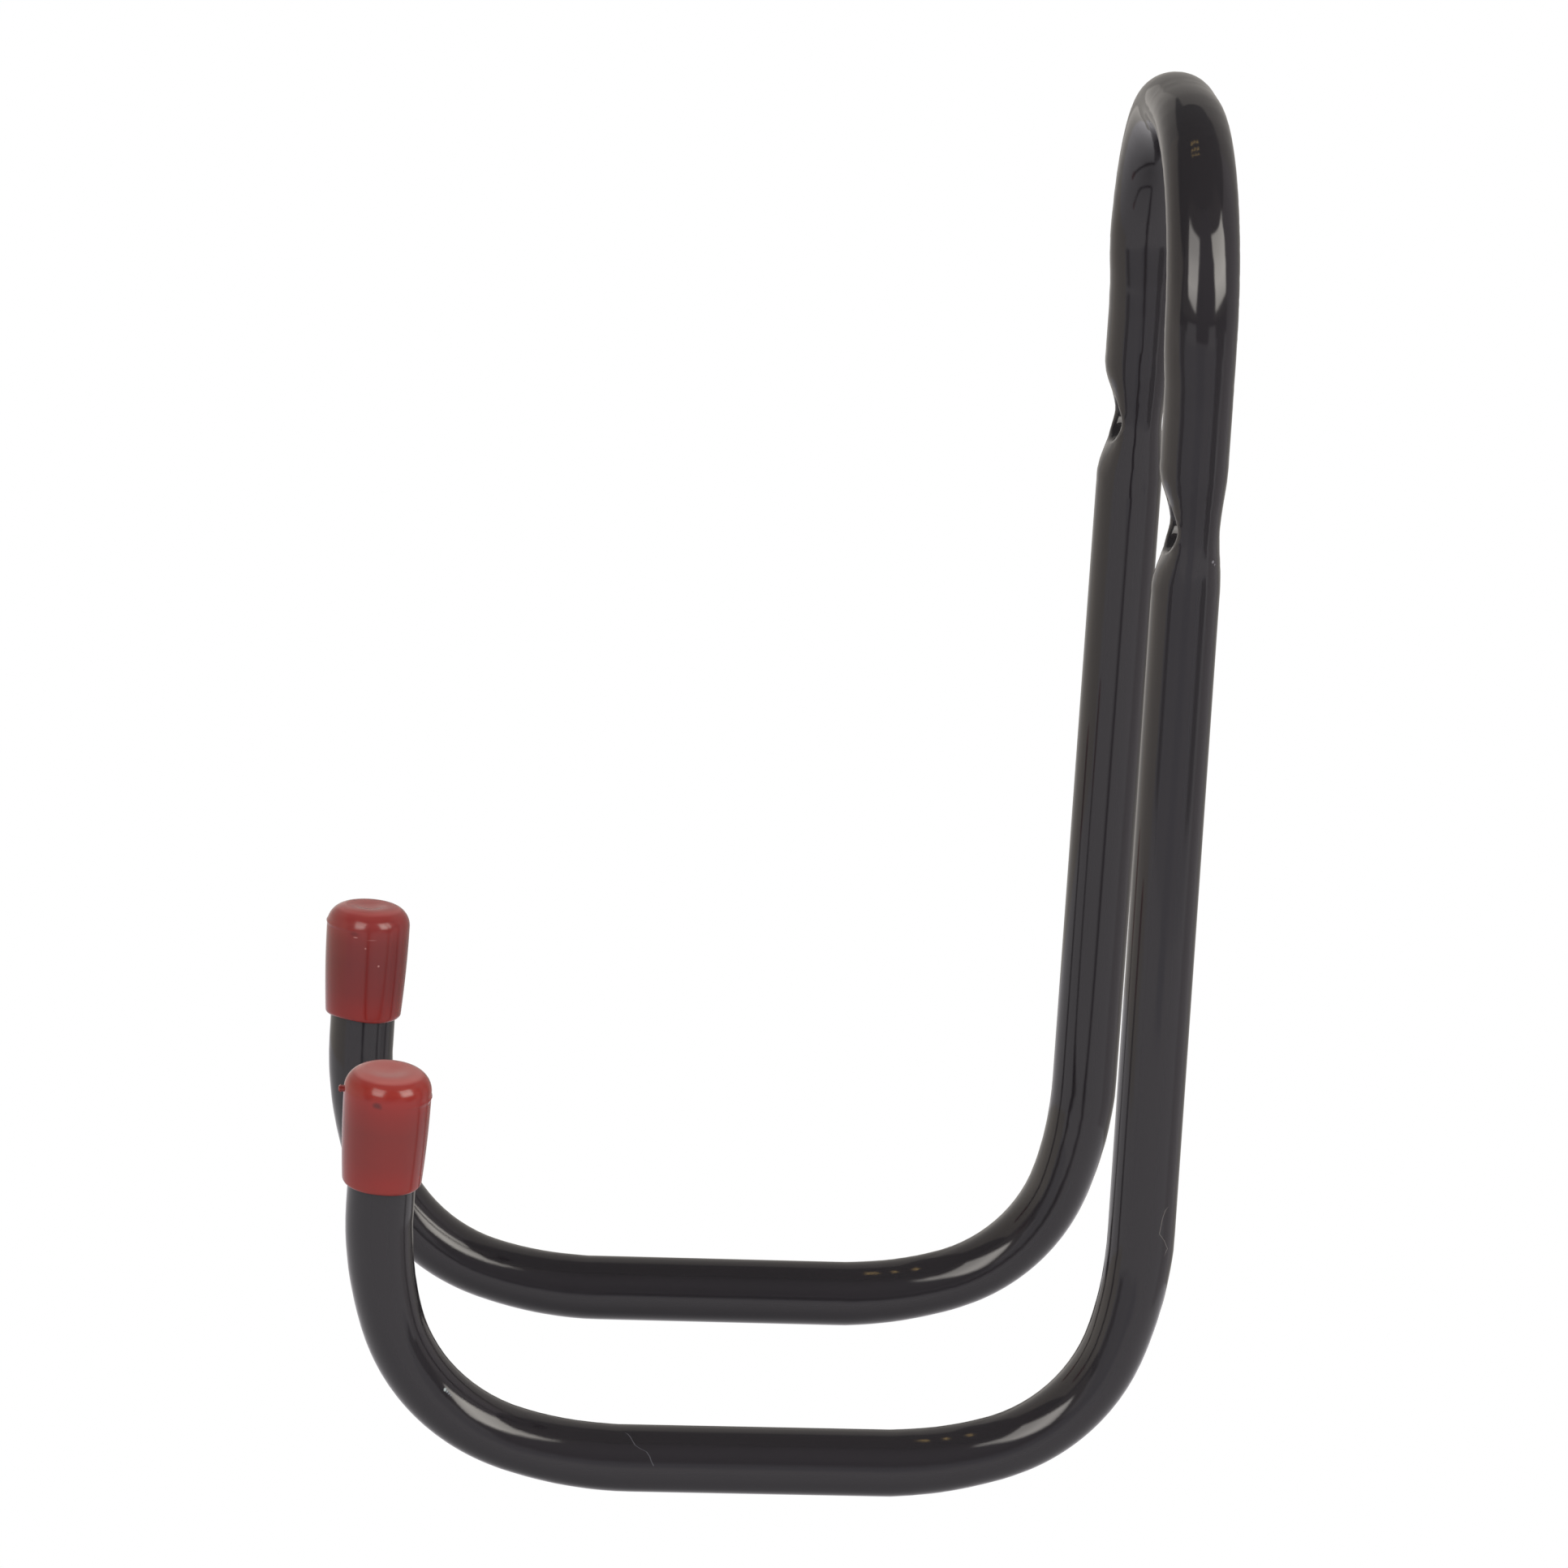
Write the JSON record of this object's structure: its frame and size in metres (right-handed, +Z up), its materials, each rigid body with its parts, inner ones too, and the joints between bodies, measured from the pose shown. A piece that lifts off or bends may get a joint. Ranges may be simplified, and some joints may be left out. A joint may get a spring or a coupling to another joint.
{
  "type": "double storage hook",
  "caption": "Wall-mounted double storage hook of bent steel tube, with a dished screw seat in each leg and soft capped tips.",
  "frame": {"origin": "midpoint between the two screw holes, on the wall plane that the backs of the legs touch, 0.85 mm behind the pressed backs that the holes pass through", "axes": "+Z up the wall, -Y out into the room, X along the wall from one leg to the other"},
  "size_m": [0.1164, 0.1577, 0.2648],
  "materials": {
    "coated_steel": "gloss charcoal powder coat on steel tube",
    "vinyl_cap": "semi-gloss dip-moulded red vinyl"
  },
  "bodies": {
    "root": {"hook_tube": "coated_steel", "end_cap_right": "vinyl_cap", "end_cap_left": "vinyl_cap"}
  },
  "joints": []
}
